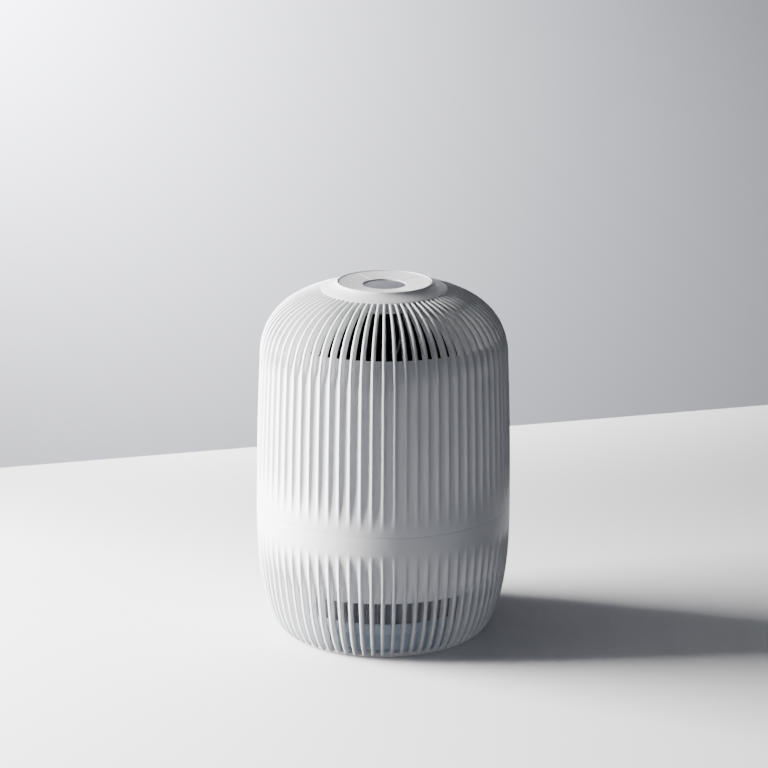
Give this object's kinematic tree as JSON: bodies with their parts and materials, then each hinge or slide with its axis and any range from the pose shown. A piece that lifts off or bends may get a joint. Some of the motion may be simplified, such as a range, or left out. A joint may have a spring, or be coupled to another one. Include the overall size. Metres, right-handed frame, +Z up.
{
  "type": "air purifier",
  "caption": "Cylindrical table-top air purifier with a ribbed body, slotted foot and dome, round button panel, lift-off upper housing and ring filter.",
  "frame": {"origin": "centre of the footprint, on the surface the feet stand on", "axes": "+Z up along the body's axis, front towards -Y, power inlet at the back, +Y"},
  "size_m": [0.22, 0.22, 0.3097],
  "materials": {
    "shell": "fine moulded satin",
    "panel": "fine moulded satin",
    "lens": "smoked gloss",
    "black": "moulded matt",
    "tray": "moulded matt",
    "base": "moulded matt",
    "cap": "moulded matt",
    "media": "pleated non-woven",
    "carbon": "open foam",
    "foam": "closed-cell foam",
    "ribbon": "woven tape",
    "rubber": "matt",
    "steel": "zinc plated",
    "lamination": "dull plated",
    "lock_ring": "moulded, slippery",
    "board": "solder resist",
    "component": "moulded"
  },
  "bodies": {
    "base": {"lower_shell": "shell", "base_plate": "base", "filter_tray": "tray", "foot_1": "rubber", "foot_2": "rubber", "foot_3": "rubber", "foot_4": "rubber", "base_screw_1": "steel", "base_screw_2": "steel", "base_screw_3": "steel", "base_screw_4": "steel"},
    "turn_ring": {"lock_ring": "lock_ring"},
    "filter": {"filter_cap_lower": "cap", "filter_media": "media", "carbon_sleeve": "carbon", "filter_cap_upper": "cap", "filter_gasket": "foam", "pull_tab": "ribbon"},
    "housing": {"upper_shell": "shell", "intake_plate": "black", "finger_guard": "black", "fan_duct": "black", "motor_mount": "black", "motor_stator": "lamination", "bearing_lower": "steel", "bearing_upper": "steel", "plate_screw_1": "steel", "plate_screw_2": "steel", "plate_screw_3": "steel", "plate_screw_4": "steel", "dc_jack": "component", "power_lead": "component", "motor_lead": "component", "control_bezel": "panel", "panel_tray": "black", "control_board": "board", "display_lens": "lens", "board_screw_1": "steel", "board_screw_2": "steel", "switch_right": "component", "switch_back": "component", "switch_left": "component", "switch_front": "component"},
    "rotor": {"impeller": "black", "motor_shaft": "steel", "motor_rotor": "lamination", "impeller_nut": "steel"},
    "button_front": {"button_front": "panel"},
    "button_right": {"button_right": "panel"},
    "button_back": {"button_back": "panel"},
    "button_left": {"button_left": "panel"}
  },
  "joints": [
    {"name": "housing_twist", "type": "hinge", "parent": "base", "child": "turn_ring", "pos_m": [0, 0, 0.1158], "axis": [0, 0, 1], "range_deg": [0, 20]},
    {"name": "housing_lift", "type": "slide", "parent": "turn_ring", "child": "housing", "axis": [0, 0, 1], "range_m": [0, 0.22]},
    {"name": "filter_lift", "type": "slide", "parent": "base", "child": "filter", "axis": [0, 0, 1], "range_m": [0, 0.11]},
    {"name": "rotor_spin", "type": "hinge", "parent": "housing", "child": "rotor", "pos_m": [0, 0, 0.186], "axis": [0, 0, 1], "continuous": true},
    {"name": "button_front_press", "type": "slide", "parent": "housing", "child": "button_front", "axis": [0, 0, -1], "range_m": [0, 0.0006], "stiffness_N_per_m": 1500, "springref_m": -0.0002},
    {"name": "button_right_press", "type": "slide", "parent": "housing", "child": "button_right", "axis": [0, 0, -1], "range_m": [0, 0.0006], "stiffness_N_per_m": 1500, "springref_m": -0.0002},
    {"name": "button_back_press", "type": "slide", "parent": "housing", "child": "button_back", "axis": [0, 0, -1], "range_m": [0, 0.0006], "stiffness_N_per_m": 1500, "springref_m": -0.0002},
    {"name": "button_left_press", "type": "slide", "parent": "housing", "child": "button_left", "axis": [0, 0, -1], "range_m": [0, 0.0006], "stiffness_N_per_m": 1500, "springref_m": -0.0002}
  ],
  "couplings": [
    {"joint": "filter_lift", "follows": "housing_lift", "ratio": 0.5}
  ]
}
